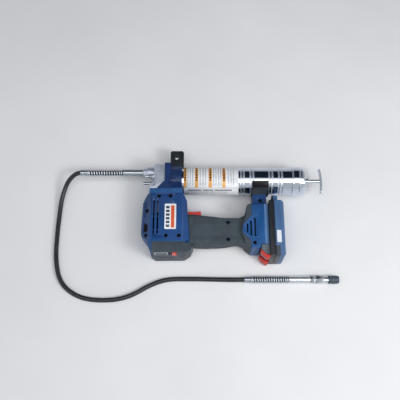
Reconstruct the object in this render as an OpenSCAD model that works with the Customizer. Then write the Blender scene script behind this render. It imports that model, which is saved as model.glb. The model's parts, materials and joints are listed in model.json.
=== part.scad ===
// Cordless pistol-grip grease gun lying on its side, with a whip hose.
// Design frame: X runs from the barrel mouth to the T-handle, Y from the grip
// towards the barrel, Z up. The barrel axis is the line y = 0, z = 0 of that
// frame, and to_part() moves it so that the gun lies on z = 0.

/* [Barrel] */
// Outside diameter of the cartridge barrel
barrel_d = 57; // [55:0.5:58]
// Wall of the barrel tube
barrel_wall = 1.6; // [1.2:0.1:2]
// Distance from the barrel mouth to the end of the tube
barrel_len = 228; // [220:1:236]
// Outside diameter of the end cap flange
cap_d = 61.4; // [60:0.2:64]
// Diameter of the follower rod
rod_d = 8.4; // [6:0.2:10]
// Width of the T-handle
t_handle_w = 57; // [45:1:60]

/* [Housing] */
// Thickness of the motor housing, side to side
body_t = 72; // [70:1:74]
// Wall of the moulded shells
wall = 3; // [2.5:0.1:3.5]
// Thickness of the grip, side to side
grip_t = 40; // [36:1:44]
// Thickness of the soft grip skin
grip_skin = 2.2; // [1.8:0.1:2.6]
// Thickness of the battery foot, side to side
foot_t = 60; // [56:1:62]
// Radius of the collar round the barrel mouth
collar_r = 33; // [32.6:0.1:33.5]
// Radius of the strap eyelet
eyelet_r = 4.5; // [4:0.1:5]

/* [Drive] */
// Gear module of the planetary stage
gear_m = 1; // [0.95:0.05:1]
// Offset of the crank pin
crank_throw = 4; // [3:0.5:4]
// Radius of the pump plunger
plunger_r = 4; // [3.5:0.1:4]
// Radius of the motor can
motor_r = 19; // [17:0.5:20]

/* [Hose] */
// Outside diameter of the hose
hose_d = 9.5; // [8:0.5:10]
// Outside diameter of the spring guards
guard_d = 15.5; // [14:0.5:16]
// Bore of the coupler, which takes a grease nipple
coupler_bore_r = 3.3; // [3.2:0.1:3.5]

/* [Hidden] */
$fn = 64;
// Where the barrel mouth sits in the part's own frame
mouth_at = [-104, 53, body_t / 2];
half_t = body_t / 2;
barrel_r = barrel_d / 2;
thread_len = 14;
cap_start = barrel_len - 2;
rod_r = rod_d / 2;
handle_x = 287;
follower_x = 30;
// Where the rolled grooves of the barrel start
GROOVES = [118.5, 124.5, 138, 144, 177, 183.5, 197, 203.5];
groove_w = 3;
groove_depth = 0.7;
motor_x = -37;
plunger_y = -22;
roller_r = 4;
planet_pin_r = 3;
ring_r = 25.6;
case_r = 29;
bearing_r = 12;
shaft_r = 7;
outlet_y = 19.8;
// Heights of the vent valve and the filler on the pump head, and the check valve's place
vent_y = 3;
filler_y = -12.8;
port_z = 20;
check_x = -52;
hose_r = hose_d / 2;
guard_r = guard_d / 2;
ferrule_r = 7;
tip_z = 8.5;
// The hose route in the part's own frame, from the first ferrule to the tip ferrule
hose_z = 4.8;
ROUTE = [[-232.5, 72.8, 36], [-258, 72.8, 36], [-283, 72.8, 36], [-308.5, 72.8, 36], [-323, 72.8, 36],
    [-332, 71, 34.5], [-341, 66, 30.5], [-350, 57.5, 24.5], [-357.5, 43.5, 17.5], [-363, 25.5, 12],
    [-366, 6, 8], [-367.5, -16, 5.6], [-368.5, -41, hose_z], [-368.5, -66, hose_z],
    [-368, -90, hose_z], [-366, -111, hose_z], [-362.5, -129, hose_z], [-357.5, -145, hose_z],
    [-350, -158.5, hose_z], [-340, -169.5, hose_z], [-327, -179, hose_z], [-311.5, -186.5, hose_z],
    [-294, -191, hose_z], [-274.5, -193, hose_z], [-255, -193, hose_z], [-235.5, -191, hose_z],
    [-216, -186, hose_z], [-197, -177.5, hose_z], [-179.5, -167.5, hose_z], [-161.5, -159, hose_z],
    [-143.5, -153, hose_z], [-125, -150.3, hose_z], [-98, -149.8, hose_z], [-70, -150, hose_z],
    [-40, -150.7, 5], [-14, -151.6, 6.8], [8, -152, 8.3], [20, -152, tip_z], [60, -152, tip_z],
    [111, -152, tip_z]];
route_start = ROUTE[0];
route_end = ROUTE[len(ROUTE) - 1];
// Where the spring guards end, towards the middle of the hose
guard_x = route_start.x - 76;
tip_guard_x = route_end.x - 77;
// Where the first ferrule meets the outlet adapter, and where the tip's fitting starts
adapter_x = mouth_at.x - 84.7;
tip_x = route_end.x + 44;
coupler_x = tip_x + 36;
coupler_r = 8.4;
jaws_r = 5.2;
// Outlines in the design frame, counter-clockwise
MOTOR_OUTLINE = [[-70, -142.5], [14, -142.5], [13.5, -126.6], [8.8, -72.9], [8.7, -56.5],
    [4.2, -46.1], [-1.6, -38.8], [-1.6, -27.4], [-67.5, -27.4], [-69, -37], [-77, -45], [-82.5, -56.5],
    [-83.3, -72.9], [-85, -112.6], [-84, -123.7], [-78.9, -130.6], [-73, -136.5]];
// The strip of the housing that runs down beside the end cap
STRIP_OUTLINE = [[-61.4, -158.6], [-61.4, -139.4], [-71, -139.4], [-65, -158.6]];
CAP_OUTLINE = [[-61.2, -142.5], [-61.2, -160.4], [-57, -164], [4, -163.4], [15.7, -157.4],
    [20.8, -146.6], [14, -142.5]];
// The front of the shell, cut back where the casting shows
FRONT_OUTLINE = [[-53.9, -40], [-25.3, -40], [-25.3, 30], [-38.2, 30], [-38.2, -9.9], [-53.9, -27.2]];
FRONT_INSIDE = [[-56, -40], [-25.3, -40], [-25.3, 27.8], [-40, 27.8], [-40, -8], [-56, -26]];
grip_room = grip_t / 2 - grip_skin - wall - 1.2; // half depth of the hollow in the grip
GRIP_OUTLINE = [[4, -79.5], [4, -141.8], [21, -142.2], [48.7, -143.7], [84.9, -140.2],
    [109.6, -135.6], [121.3, -140.7], [130, -148], [134, -142], [134, -84], [128, -80.1],
    [118, -86.5], [111.1, -89.6], [80, -87.8], [44.4, -83.5], [24, -80]];
FOOT_OUTLINE = [[138, -153.5], [155, -153.5], [157, -145], [173.6, -145], [173.6, -62],
    [170.8, -60.5], [170.8, -36.6], [143, -36.6], [143, -60.5], [133, -61.5], [129, -66],
    [127, -88], [120, -106], [119, -122], [125.6, -143]];
// The foot in X and Z, with a slope down to the battery on each side
foot_slope = 5.4;
FOOT_SECTION = [[110, -foot_t / 2], [164.5, -foot_t / 2], [180, foot_slope - foot_t / 2],
    [180, foot_t / 2 - foot_slope], [164.5, foot_t / 2], [110, foot_t / 2]];
// The part of the foot that the soft skin of the grip covers
BAND_OUTLINE = [[100, -175], [136.6, -175], [136.6, -138.5], [130, -131], [122.4, -122],
    [122.2, -106], [139, -86], [139, -55], [100, -55]];
// The block under the collar, in Y and Z
SADDLE = [[-41, -35.9], [-27, -32.2], [-13, -30.9], [-13, 30.9], [-27, 32.2], [-41, 35.9]];
SECTION = [[-86, -10], [-64, -half_t], [0, -half_t], [22, -20], [22, 20], [0, half_t],
    [-64, half_t], [-86, 10]];
HEAD_OUTLINE = [[-67.5, -27], [-54.2, -27], [-38.5, -9.5], [-38.2, -9.5], [-38.2, 29], [-60, 29],
    [-60, -10], [-62, -12], [-67.5, -19]];
// Full-depth screws: x, y and the height of the face that they enter
LONG_SCREWS = [[-33, -130.3, 36], [-7.2, -130.3, 36], [-72.4, -75.2, 26], [-73.9, -126.9, 24.3],
    [91.6, -98.2, 19], [91.5, -133.3, 19], [158, -51, 20], [144, -143.2, foot_t / 2]];
SHORT_SCREWS = [[-48.2, -46.6, 36], [-25, -46.1, 36]];
screw_r = 1.5;
boss_r = 5.6;
recess_r = 4;
// Middles of the vent slots: x beside the motor, and x, y and length on the foot
MOTOR_VENTS = [-58, -50.5];
FOOT_VENTS = [[130, -112.5, 19], [137.4, -112.5, 31], [145.2, -110.5, 39]];
vent_w = 3.2;
TERMINALS = [-12, -4, 4, 12];
chamfer_angle = 49.8;
facet_angle = -7;
LENS_OUTLINE = [[-7, -10.5], [7, -10.5], [7, 2], [-7, 10.5]];
POCKET_OUTLINE = [[-5, -16], [1, -16], [6, -9], [6, 10], [0, 16], [-5, 14]];
// Middle and width, in Y, of the two raised pads on each side of the grip
GRIP_PADS = [[-95.3, 12.6], [-136, 13]];
// Middle of the badge's underside, and its size
badge_at = [-24.55, -90.1, half_t - 0.6];
badge_w = 23.3;
badge_len = 53.8;
badge_corner = 2;
sun_teeth = 12;
planet_teeth = 18;
ring_teeth = 48;
planet_orbit = gear_m * (sun_teeth + planet_teeth) / 2;
blue = [0.18, 0.34, 0.58];
slate = [0.29, 0.33, 0.35];
charcoal = [0.15, 0.17, 0.18];
red = [0.84, 0.31, 0.29];
chrome = [0.8, 0.81, 0.83];
steel = [0.6, 0.61, 0.63];
cast = [0.68, 0.7, 0.74];

// ---- Shared shapes ----
function unit2(v) = v / norm(v);
// Moves each edge of a counter-clockwise outline inwards by t
function inset(p, t) = let (n = len(p)) [for (i = [0 : n - 1])
    let (u = unit2(p[i] - p[(i + n - 1) % n]), v = unit2(p[(i + 1) % n] - p[i]),
         a = [-u.y, u.x], b = [-v.y, v.x]) p[i] + (a + b) * t / (1 + a * b)];
// Rounded rectangle as an outline
function rounded(w, h, r, n = 6) = [for (q = [0 : 3], k = [0 : n])
    let (a = q * 90 + k * 90 / n, sx = (q == 0 || q == 3) ? 1 : -1, sy = q < 2 ? 1 : -1)
    [sx * (w / 2 - r) + r * cos(a), sy * (h / 2 - r) + r * sin(a)]];

module to_part() { translate(mouth_at) children(); }
module along_x(x) { translate([x, 0, 0]) rotate([0, 90, 0]) children(); }
// A cylinder from x0 to x1 at (y, z)
module rod_x(x0, x1, r, y = 0, z = 0) {
    translate([min(x0, x1), y, z]) rotate([0, 90, 0]) cylinder(r = r, h = abs(x1 - x0));
}
// A cylinder from y0 to y1 at (x, z)
module rod_y(y0, y1, r, x = motor_x, z = 0) {
    translate([x, min(y0, y1), z]) rotate([-90, 0, 0]) cylinder(r = r, h = abs(y1 - y0));
}
module hex_x(x0, x1, r, y, z) {
    translate([x0, y, z]) rotate([0, 90, 0]) cylinder(r = r, h = x1 - x0, $fn = 6);
}
// A box given by its low and high corners
module box(lo, hi) { translate(lo) cube(hi - lo); }
// An outline in X and Y, cut to a section in X and Z
module prism(outline, section) {
    intersection() {
        translate([0, 0, -60]) linear_extrude(height = 120) polygon(outline);
        rotate([90, 0, 0]) translate([0, 0, -60]) linear_extrude(height = 240) polygon(section);
    }
}

// ---- Housing ----
module grip_solid(t, corner = 15) {
    intersection() {
        translate([0, 0, -60]) linear_extrude(height = 120) polygon(inset(GRIP_OUTLINE, t));
        translate([0, -112, 0]) rotate([90, 0, 90]) linear_extrude(height = 140)
            polygon(rounded(76 - 2 * t, grip_t - 2 * t, corner - t));
    }
}
module foot_solid(t) {
    w = foot_t / 2 - t;
    intersection() {
        prism(inset(FOOT_OUTLINE, t), inset(FOOT_SECTION, t));
        union() {
            box([118, -160, -w], [180, -61 - t, w]);
            box([118, -62 - t, -20 + t], [180, -30, 20 - t]);
        }
    }
}
// The motor housing, with a slope down to the head at its +Y end
module motor_solid(t) {
    h = half_t - t;
    intersection() {
        prism(inset(MOTOR_OUTLINE, t), inset(SECTION, t));
        rotate([90, 0, 90]) translate([0, 0, -100]) linear_extrude(height = 200)
            polygon([[-150, -h], [-40, -h], [-27, -h + 5], [-27, h - 5], [-40, h], [-150, h]]);
    }
}
module shell_front(t) {
    open = t > 0 ? 1 : 0;
    translate([0, 0, -31 + t]) linear_extrude(height = 62 - 2 * t)
        polygon(t > 0 ? FRONT_INSIDE : FRONT_OUTLINE);
    rod_x(-25.4, -2.6 + open, collar_r - (t > 0 ? 2.5 : 0));
    box([-25.4, -40, -30 + t], [-12, -24, 30 - t]);
}
module skin_band() {
    translate([0, 0, -60]) linear_extrude(height = 120) polygon(BAND_OUTLINE);
}
// The foot without the soft skin that covers part of it
module foot_core() {
    difference() {
        foot_solid(0);
        skin_band();
    }
    foot_solid(grip_skin);
}
module housing_outer() {
    motor_solid(0);
    prism(STRIP_OUTLINE, SECTION);
    shell_front(0);
    translate([-25.4, 0, 0]) rotate([90, 0, 90]) linear_extrude(height = 22.8) polygon(SADDLE);
    grip_solid(grip_skin);
    foot_core();
}
module housing_inner() {
    motor_solid(wall);
    shell_front(wall);
    box([-58.5, -41, -26], [-14, -18, 26]);
    translate([0, 0, -grip_room]) linear_extrude(height = 2 * grip_room)
        polygon(inset(GRIP_OUTLINE, grip_skin + wall));
    box([2, -138, -14], [20, -86, 14]);
    box([127, -141, -14], [142, -90, 14]);
    foot_solid(grip_skin + wall);
    difference() {
        foot_solid(wall);
        translate([wall, 0, 0]) skin_band();
    }
    box([-60.4, -143, -30], [10, -138, 30]);
}
// Openings in both halves: vent slots, trigger mouth, battery channel, strap lug
module housing_cuts() {
    for (s = [-1, 1]) {
        for (x = MOTOR_VENTS) translate([x, -91, s * half_t]) cube([vent_w, 70, 8], center = true);
        for (p = FOOT_VENTS) translate([p.x, p.y, s * foot_t / 2]) cube([vent_w, p.z, 20], center = true);
    }
    trigger_mouth();
    box([154, -160, -21], [180, -64, 21]);
    box([-28.2, 24, -5.2], [0.8, 40, 5.2]);
    window_block(0.2, 8);
    shallow_pockets();
}
module trigger_mouth() { box([9.9, -90, -9.6], [38, -60, 9.6]); }
// Places children on the left chamfer of the motor housing, at a height y
module on_chamfer(y) { translate([-75, y, 23]) rotate([0, -chamfer_angle, 0]) children(); }
// The recess of the dark lens, t wider all round than the lens itself
module window_block(t, depth) {
    on_chamfer(-108.5) linear_extrude(height = depth, center = true) polygon(inset(LENS_OUTLINE, -t));
}
// Shallow pocket round the upper screw of the chamfer, and the slanted facet under the head
module shallow_pockets() {
    on_chamfer(-72.5) translate([0, 0, -1.2]) linear_extrude(height = 6) polygon(POCKET_OUTLINE);
    intersection() {
        translate([0, -48, half_t]) rotate([facet_angle, 0, 0]) box([-60, 0, 0], [-8, 8.4, 6]);
        translate([0, 0, 20]) linear_extrude(height = 40)
            polygon([[-47, -48.2], [-22, -48.2], [-9, -39.9], [-59, -39.9]]);
    }
}
module screw_bosses() {
    for (p = LONG_SCREWS) translate([p.x, p.y, -half_t]) cylinder(r = boss_r, h = half_t + p.z + 2);
}
module screw_holes() {
    for (p = LONG_SCREWS) translate([p.x, p.y, -p.z + 6]) cylinder(r = screw_r + 0.05, h = 80);
    for (p = concat(LONG_SCREWS, SHORT_SCREWS)) {
        translate([p.x, p.y, p.z - 4]) cylinder(r = recess_r, h = 12);
        translate([p.x, p.y, p.z - 9]) cylinder(r = screw_r + 0.05, h = 12);
    }
}
// Ribs that carry the motor and the gearbox
module motor_ribs() {
    difference() {
        union() {
            box([-66, -119, -34], [-8, -116, 34]);
            box([-66, -90, -34], [-8, -87, 34]);
        }
        rod_y(-130, -70, motor_r + 0.1);
    }
}
module housing_half(side) {
    color(blue) to_part() difference() {
        intersection() {
            union() {
                difference() {
                    housing_outer();
                    housing_inner();
                }
                intersection() {
                    union() {
                        screw_bosses();
                        motor_ribs();
                    }
                    housing_outer();
                }
            }
            box([-120, -200, side > 0 ? 0 : -60], [220, 100, side > 0 ? 60 : 0]);
        }
        housing_cuts();
        screw_holes();
        if (side > 0) badge(0.2, 5);
    }
}
module housing_near() { housing_half(1); }
module housing_far() { housing_half(-1); }

// Soft skin round the grip, with two raised pads
module grip_half(side) {
    color(slate) to_part() difference() {
        intersection() {
            difference() {
                union() {
                    grip_solid(0);
                    intersection() {
                        grip_solid(-0.7, 14.4);
                        for (p = GRIP_PADS) translate([67, p.x, -40]) linear_extrude(height = 80)
                            polygon(rounded(90, p.y, p.y / 2 - 0.2));
                    }
                    intersection() {
                        foot_solid(0);
                        skin_band();
                    }
                }
                grip_solid(grip_skin);
                motor_solid(0);
                foot_core();
            }
            box([9, -160, side > 0 ? 0 : -60], [180, -60, side > 0 ? 60 : 0]);
        }
        trigger_mouth();
        for (p = LONG_SCREWS) translate([p.x, p.y, 10]) cylinder(r = recess_r, h = 40);
        for (p = LONG_SCREWS) if (side > 0) translate([p.x, p.y, -5]) cylinder(r = screw_r + 0.05, h = 40);
    }
}
module grip_near() { grip_half(1); }
module grip_far() { grip_half(-1); }

module screw(len) {
    difference() {
        union() {
            translate([0, 0, -2.6]) cylinder(r = 3.2, h = 2.6);
            translate([0, 0, -len]) cylinder(r = screw_r, h = len);
        }
        translate([0, 0, -1.6]) cylinder(r = 1.5, h = 3, $fn = 6);
    }
}
module housing_screws() {
    color(charcoal) to_part() {
        for (p = LONG_SCREWS) translate([p.x, p.y, p.z - 1.4]) screw(2 * p.z - 10);
        for (p = SHORT_SCREWS) translate([p.x, p.y, p.z - 1.4]) screw(11);
    }
}
// Blank plate set into the side of the motor housing. Its recess is t wider all round
module badge(t, height) {
    translate(badge_at) linear_extrude(height = height)
        polygon(rounded(badge_w + 2 * t, badge_len + 2 * t, badge_corner + t));
}
module badge_plate() { color("white") to_part() badge(0, 0.5); }
module strap_lug() {
    color(charcoal) to_part() difference() {
        union() {
            translate([0, 0, -5]) linear_extrude(height = 10)
                polygon([[-27.9, 31], [0.4, 31], [0.4, 65.6], [-2.2, 68.6], [-25.4, 68.6], [-27.9, 66]]);
            box([-26, 28, -5], [-3, 32, 5]);
        }
        translate([-14.8, 52.6, -6]) cylinder(r = eyelet_r, h = 12);
        rod_x(-30, 2, collar_r - 2.4);
    }
}
module cap_solid(t) {
    prism(inset(CAP_OUTLINE, t), inset(SECTION, t + 0.8));
}
module end_cap() {
    color(slate) to_part() difference() {
        cap_solid(0);
        cap_solid(2.6);
        box([-58.4, -146, -29], [8, -140, 29]);
        box([-56.6, -168, 14.8], [-28.2, -158, 30.2]);
        box([-21, -168, 12.6], [-11.4, -158, 29.4]);
    }
}
module display_bezel() {
    color([0.45, 0.48, 0.5]) to_part() difference() {
        box([-56.4, -165.2, 15], [-28.4, -159, 30]);
        box([-53.4, -168, 17.5], [-31.4, -160.5, 27.5]);
    }
}
module display_window() {
    color([0.1, 0.12, 0.12]) to_part() box([-53.3, -164.6, 17.6], [-31.5, -160.6, 27.4]);
}
module display_button() {
    color(red) to_part() box([-20.6, -165.8, 13], [-11.8, -159.5, 29]);
}
module led_lens() {
    color([0.1, 0.1, 0.11]) to_part() intersection() {
        window_block(0.1, 4);
        motor_solid(0.4);
    }
}
module circuit_board() {
    color([0.1, 0.35, 0.2]) to_part() {
        box([-56, -152.6, -22], [2, -151, 22]);
        for (x = [-48, -34, -20]) box([x, -151, -14], [x + 9, -147.5, -6]);
    }
}

// ---- Pump head ----
module pump_head() {
    color(cast) to_part() difference() {
        union() {
            translate([0, 0, -30]) linear_extrude(height = 60) polygon(HEAD_OUTLINE);
            rod_x(-38.3, -25, 27.6);
            rod_x(-25, -3, barrel_r + 1.8);
        }
        // Socket for the barrel, and the grease chamber behind it
        rod_x(-thread_len - 0.2, 0, barrel_r + 0.05);
        rod_x(-34, -thread_len, 10, 4);
        // Space for the yoke, open towards the gearbox
        box([motor_x - 19.4, -40, -12.6], [motor_x + 19.4, -18.5, 12.6]);
        rod_x(-65.9, motor_x - 10, plunger_r + 0.05, plunger_y);
        // Discharge port, check valve chamber and outlet
        translate([-63, -22, 0]) rotate([0, 0, -24.6]) rod_y(0, 28, 1.5, 0);
        rod_y(2, 30, 5, check_x);
        rod_x(-61, -52, 5, outlet_y);
        // Threads for the vent valve and the filler
        rod_x(-61, -54, 3, vent_y, port_z);
        rod_x(-63, -54, 3, filler_y, port_z);
        rod_x(-70, -60, 5.2, filler_y, port_z);
        // Chamfers along the long edges
        for (s = [-1, 1]) translate([-50, 29, s * 30]) rotate([45, 0, 0]) cube([40, 5, 5], center = true);
        for (s = [-1, 1]) translate([-60, 10, s * 30]) rotate([0, 45, 0]) cube([5, 60, 5], center = true);
    }
}
module head_plug() {
    color(steel) to_part() {
        rod_y(22, 29, 5, check_x);
        translate([-50, 29, 0]) rotate([-90, 0, 0]) cylinder(r = 8.4, h = 7, $fn = 6);
    }
}
module check_ball() { color(chrome) to_part() translate([-52, 6.2, 0]) sphere(r = 4); }
module check_spring() {
    color(steel) to_part() difference() {
        rod_y(10.2, 22, 3.6, check_x);
        rod_y(9, 23, 2.4, check_x);
    }
}
module outlet_adapter() {
    color(cast) to_part() difference() {
        union() {
            rod_x(-76.6, -60, 12, outlet_y);
            hex_x(-84.7, -76.6, 9, outlet_y, 0);
            rod_x(-60, -57.2, 5, outlet_y);
        }
        rod_x(-90, -50, 2.6, outlet_y);
    }
}
module vent_valve_body() {
    color(steel) to_part() difference() {
        union() {
            rod_x(-60, -54, 3, vent_y, port_z);
            hex_x(-67, -60, 5.4, vent_y, port_z);
            rod_x(-72, -67, 3.6, vent_y, port_z);
        }
        rod_x(-73, -57, 2.05, vent_y, port_z);
    }
}
module vent_valve_stem() {
    color(chrome) to_part() {
        rod_x(-77, -60, 2, vent_y, port_z);
        rod_x(-79, -76, 3.2, vent_y, port_z);
    }
}
module filler_nipple() {
    color(steel) to_part() difference() {
        union() {
            rod_x(-61, -54, 3, filler_y, port_z);
            hex_x(-66, -60, 5, filler_y, port_z);
            rod_x(-79, -66, 2.8, filler_y, port_z);
            rod_x(-82.4, -78, 3.4, filler_y, port_z);
        }
        rod_x(-84, -70, 1, filler_y, port_z);
    }
}

// ---- Motor and gears ----
function inv_angle(a) = tan(a) * 180 / PI - a;
// Involute outline; slack narrows each tooth, add and ded set its height
function gear_outline(teeth, slack, add, ded) = let (
    rp = gear_m * teeth / 2, rb = rp * cos(20), ra = rp + add * gear_m, rr = rp - ded * gear_m,
    r0 = max(rb, rr), half = 90 / teeth - slack / rp * 180 / PI, steps = 4)
    [for (i = [0 : teeth - 1], s = [-1, 1], k = [0 : steps + 1])
        let (q = s < 0 ? k : steps + 1 - k, r = q == 0 ? rr : r0 + (ra - r0) * (q - 1) / steps,
             w = half + inv_angle(20) - inv_angle(acos(rb / max(r, r0))),
             a = i * 360 / teeth + s * min(w, 178 / teeth)) [r * cos(a), r * sin(a)]];
module gear_y(y0, y1, teeth, phase) {
    translate([0, y0, 0]) rotate([-90, 0, 0]) linear_extrude(height = y1 - y0)
        rotate([0, 0, phase]) polygon(gear_outline(teeth, 0.08, 0.85, 1.15));
}
module motor_can() {
    color(steel) to_part() difference() {
        rod_y(-123, -77, motor_r);
        rod_y(-121, -79, motor_r - 1.8);
        rod_y(-130, -70, 6);
        for (a = [45 : 90 : 315]) rod_y(-124, -120, 3, motor_x + 12 * cos(a), 12 * sin(a));
    }
}
module motor_rotor() {
    color([0.55, 0.4, 0.25]) to_part() {
        rod_y(-124, -56, 2.5);
        rod_y(-113, -86, 14);
        translate([motor_x, 0, 0]) gear_y(-70, -56, sun_teeth, 0);
    }
}
module motor_bearings() {
    color(chrome) to_part() for (y = [-123, -81]) difference() {
        rod_y(y, y + 4, 6);
        rod_y(y - 1, y + 5, 2.54);
    }
}
module gearbox_case() {
    color(cast) to_part() difference() {
        union() {
            rod_y(-74, -46, case_r);
            rod_y(-46, -36, 16);
            for (p = SHORT_SCREWS) translate([p.x, p.y, 8]) cylinder(r = 3.6, h = 23.8);
        }
        rod_y(-75, -70.6, ring_r);
        translate([motor_x, -71, 0]) rotate([-90, 0, 0]) linear_extrude(height = 16)
            rotate([0, 0, 180 / ring_teeth]) polygon(gear_outline(ring_teeth, -0.08, 1.15, 0.85));
        rod_y(-55.5, -48.5, 25.4);
        rod_y(-50, -30, 9);
        rod_y(-46, -38, bearing_r);
        for (p = SHORT_SCREWS) translate([p.x, p.y, 22]) cylinder(r = screw_r + 0.05, h = 20);
    }
    color(cast) to_part() difference() {
        rod_y(-77, -74, case_r);
        rod_y(-78, -73, 6.5);
    }
}
module crank_bearing() {
    color(chrome) to_part() difference() {
        rod_y(-46, -38, bearing_r);
        rod_y(-47, -37, shaft_r + 0.04);
    }
}
module crank() {
    color(steel) to_part() difference() {
        union() {
            rod_y(-55, -49, 20);
            for (a = [0 : 120 : 240])
                rod_y(-69, -55, planet_pin_r, motor_x + planet_orbit * cos(a), -planet_orbit * sin(a));
            rod_y(-49, -34, shaft_r);
            rod_y(-34, -30.5, 10);
            rod_y(-30.5, -20, 2, motor_x, crank_throw);
        }
        rod_y(-56, -54, 3.5);
    }
}
module crank_roller() {
    color(chrome) to_part() difference() {
        rod_y(-30, -20.5, roller_r, motor_x, crank_throw);
        rod_y(-31, -19, 2, motor_x, crank_throw);
    }
}
// a is the planet's place round the sun
module planet_gear(a) {
    color(steel) to_part() translate([motor_x, 0, 0]) rotate([0, a, 0])
        translate([planet_orbit, 0, 0]) difference() {
            gear_y(-69, -57, planet_teeth, 180 / planet_teeth);
            rod_y(-70, -56, planet_pin_r + 0.05, 0);
        }
}
module planet_gear_1() { planet_gear(0); }
module planet_gear_2() { planet_gear(120); }
module planet_gear_3() { planet_gear(240); }
module plunger_yoke() {
    reach = roller_r + 2 * crank_throw + 0.3;
    color(steel) to_part() {
        difference() {
            box([motor_x - reach - 3, -29, -12.2], [motor_x + reach + 3, -19, 12.2]);
            box([motor_x - reach, -32, -roller_r - crank_throw - 0.2],
                [motor_x + reach, -18, roller_r + crank_throw + 0.2]);
        }
        rod_x(-61.5, motor_x - reach - 2.8, plunger_r, plunger_y);
    }
}

// ---- Trigger and electrics ----
module trigger() {
    color(red) to_part() difference() {
        union() {
            translate([0, 0, -9]) linear_extrude(height = 18)
                polygon([[10.4, -70.4], [14, -70.9], [20, -70.8], [27, -69.9], [32.5, -68.6], [35.4, -68.4],
                    [37, -70], [37.4, -82], [10.4, -82]]);
            box([17, -92, -5], [31, -81, 5]);
        }
        // Hollow for the finger, along the trigger's front edge
        for (s = [-1, 1]) translate([0, -66.9, s * 9]) rotate([s * 35, 0, 0]) box([9, -4, -3], [39, 4, 3]);
    }
}
module trigger_switch() {
    color(charcoal) to_part() difference() {
        box([12, -130, -12], [36, -100, 12]);
        box([15.5, -112, -6], [32.5, -99, 6]);
    }
}
module terminal_block() {
    color(charcoal) to_part() {
        box([146.4, -78, -17], [152.5, -67.6, 17]);
        for (z = TERMINALS) box([152.4, -76, z - 0.5], [162, -68.6, z + 0.5]);
    }
}

// ---- Battery ----
module battery_case() {
    color(charcoal) to_part() difference() {
        union() {
            box([174.2, -170.5, -half_t], [184.7, -54.7, half_t]);
            box([182, -54.8, -20], [184.7, -38.9, 20]);
            box([155.5, -140, -20], [174.3, -67, 20]);
            translate([0, 0, -27]) linear_extrude(height = 54)
                polygon([[157.6, -145.6], [157.6, -158], [168, -167], [174.3, -167], [174.3, -145.6]]);
        }
        for (z = TERMINALS) box([155, -80, z - 1.2], [168, -66, z + 1.2]);
    }
}
module battery_cover() {
    color([0.25, 0.37, 0.54]) to_part() difference() {
        prism([[184.7, -170.5], [202, -170.5], [204.6, -166], [204.6, -58], [201, -54.7],
            [194, -54.7], [194, -38.9], [184.7, -38.9]],
            [[180, -half_t], [199, -half_t], [204.6, -30], [204.6, 30], [199, half_t], [180, half_t]]);
        box([184, -167, -32], [200.5, -58, 32]);
        for (s = [-1, 1]) box([180, -54.7, s > 0 ? 20 : -40], [206, -30, s > 0 ? 40 : -20]);
    }
}
module battery_cells() {
    color([0.3, 0.55, 0.4]) to_part() for (k = [0 : 4])
        translate([193.9, -156.6 + 22 * k, -29]) cylinder(r = 6.4, h = 58);
}
module battery_latch(side) {
    color(red) to_part() translate([0, 0, side > 0 ? 13 : -31]) linear_extrude(height = 18)
        polygon([[155.5, -157], [155.5, -163.5], [167, -174.6], [172, -174.6], [173.9, -171], [173.9, -168],
            [167.6, -168], [157.2, -159], [157.2, -157]]);
}
module latch_near() { battery_latch(1); }
module latch_far() { battery_latch(-1); }

// ---- Barrel ----
module barrel_cradle() {
    color(charcoal) to_part() difference() {
        intersection() {
            union() {
                rod_x(142.7, 177, barrel_r + 4.5);
                box([143, -36.6, -19], [172, -26, 19]);
            }
            box([140, -36.6, -34], [180, -11, 34]);
        }
        rod_x(140, 180, barrel_r + 0.3);
    }
}
module groove(x) {
    along_x(x) difference() {
        cylinder(r = barrel_r + 2, h = groove_w);
        translate([0, 0, -1]) cylinder(r = barrel_r - groove_depth, h = groove_w + 2);
    }
}
module barrel_tube() {
    color(chrome) to_part() difference() {
        rod_x(-thread_len, barrel_len, barrel_r);
        rod_x(-thread_len - 1, barrel_len + 1, barrel_r - barrel_wall);
        for (x = GROOVES) groove(x);
    }
}
module barrel_label() {
    color([0.93, 0.93, 0.91]) to_part() difference() {
        rod_x(1.3, 114.7, barrel_r + 0.25);
        rod_x(1, 115, barrel_r);
        box([0, -40, -40], [116, 40, -9]);
    }
}
module barrel_cap() {
    color(chrome) to_part() difference() {
        along_x(cap_start) rotate_extrude() polygon([[0, 0], [cap_d / 2, 0], [cap_d / 2, 16], [29.4, 19],
            [29.4, 24], [26, 28], [18, 30.7], [6.5, 30.7], [6.5, 37.7], [0, 37.7]]);
        rod_x(cap_start - 1, barrel_len, barrel_r + 0.02);
        rod_x(cap_start - 1, barrel_len + 20, barrel_r - barrel_wall);
        rod_x(200, 300, rod_r + 0.06);
    }
}
module follower_rod() { color(chrome) to_part() rod_x(follower_x - 4, handle_x + 1, rod_r); }
module t_handle() {
    r = 150;
    color(chrome) to_part() difference() {
        intersection() {
            translate([handle_x + 6 - r, 0, 0]) cylinder(r = r, h = 12, center = true, $fn = 180);
            rod_x(handle_x - 8, handle_x + 8, t_handle_w / 2);
        }
        translate([handle_x + 1 - r, 0, 0]) cylinder(r = r, h = 14, center = true, $fn = 180);
    }
}
module follower_plate() {
    color(steel) to_part() difference() {
        rod_x(follower_x, follower_x + 3, barrel_r - barrel_wall - 1.2);
        rod_x(follower_x - 1, follower_x + 4, rod_r);
    }
}
module follower_seal() {
    color(charcoal) to_part() difference() {
        union() {
            rod_x(follower_x - 5, follower_x, barrel_r - barrel_wall - 0.3);
            rod_x(follower_x + 3, follower_x + 5, barrel_r - barrel_wall - 0.3);
        }
        rod_x(follower_x - 6, follower_x + 6, rod_r);
    }
}
module follower_spring() {
    color(steel) to_part() difference() {
        rod_x(follower_x + 5, barrel_len + 18, 23);
        rod_x(follower_x + 4, barrel_len + 19, 20);
    }
}

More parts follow.
